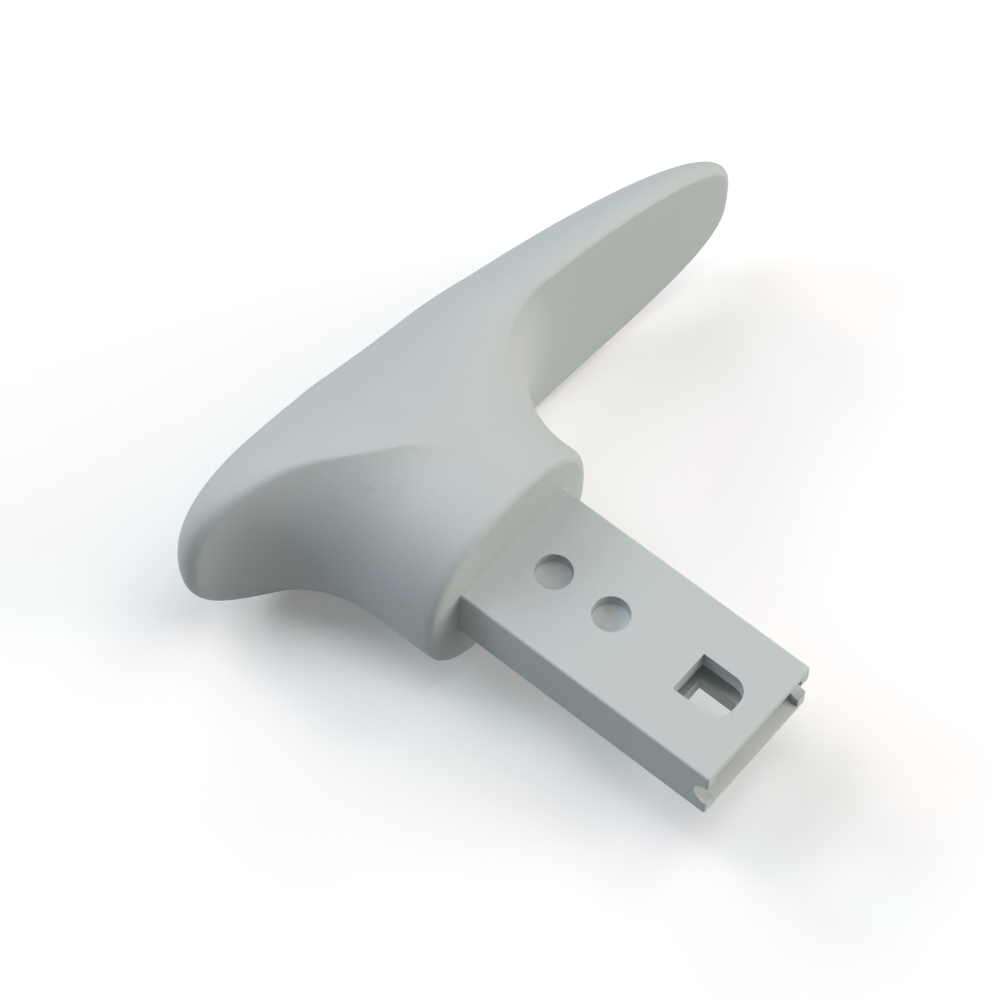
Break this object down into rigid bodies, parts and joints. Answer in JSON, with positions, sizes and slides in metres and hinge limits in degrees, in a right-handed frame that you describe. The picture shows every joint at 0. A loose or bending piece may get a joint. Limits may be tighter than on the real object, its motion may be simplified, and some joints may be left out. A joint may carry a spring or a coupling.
{
  "type": "seat adjuster handle",
  "caption": "Pale grey moulded handle for a seat adjuster: a curved grip with a long and a short finger arm, a round collar and a flat slotted shank.",
  "frame": {"origin": "centre of the shank's root, in the plane of the collar's flat face", "axes": "+X along the shank towards its open end, +Y towards the tip of the long arm, +Z out of the broad side that has the two blind holes"},
  "size_m": [0.0918, 0.1105, 0.0412],
  "materials": {
    "handle_plastic": "fine spark-eroded grain, matte"
  },
  "bodies": {
    "root": {"seat_adjuster_handle": "handle_plastic"}
  },
  "joints": []
}
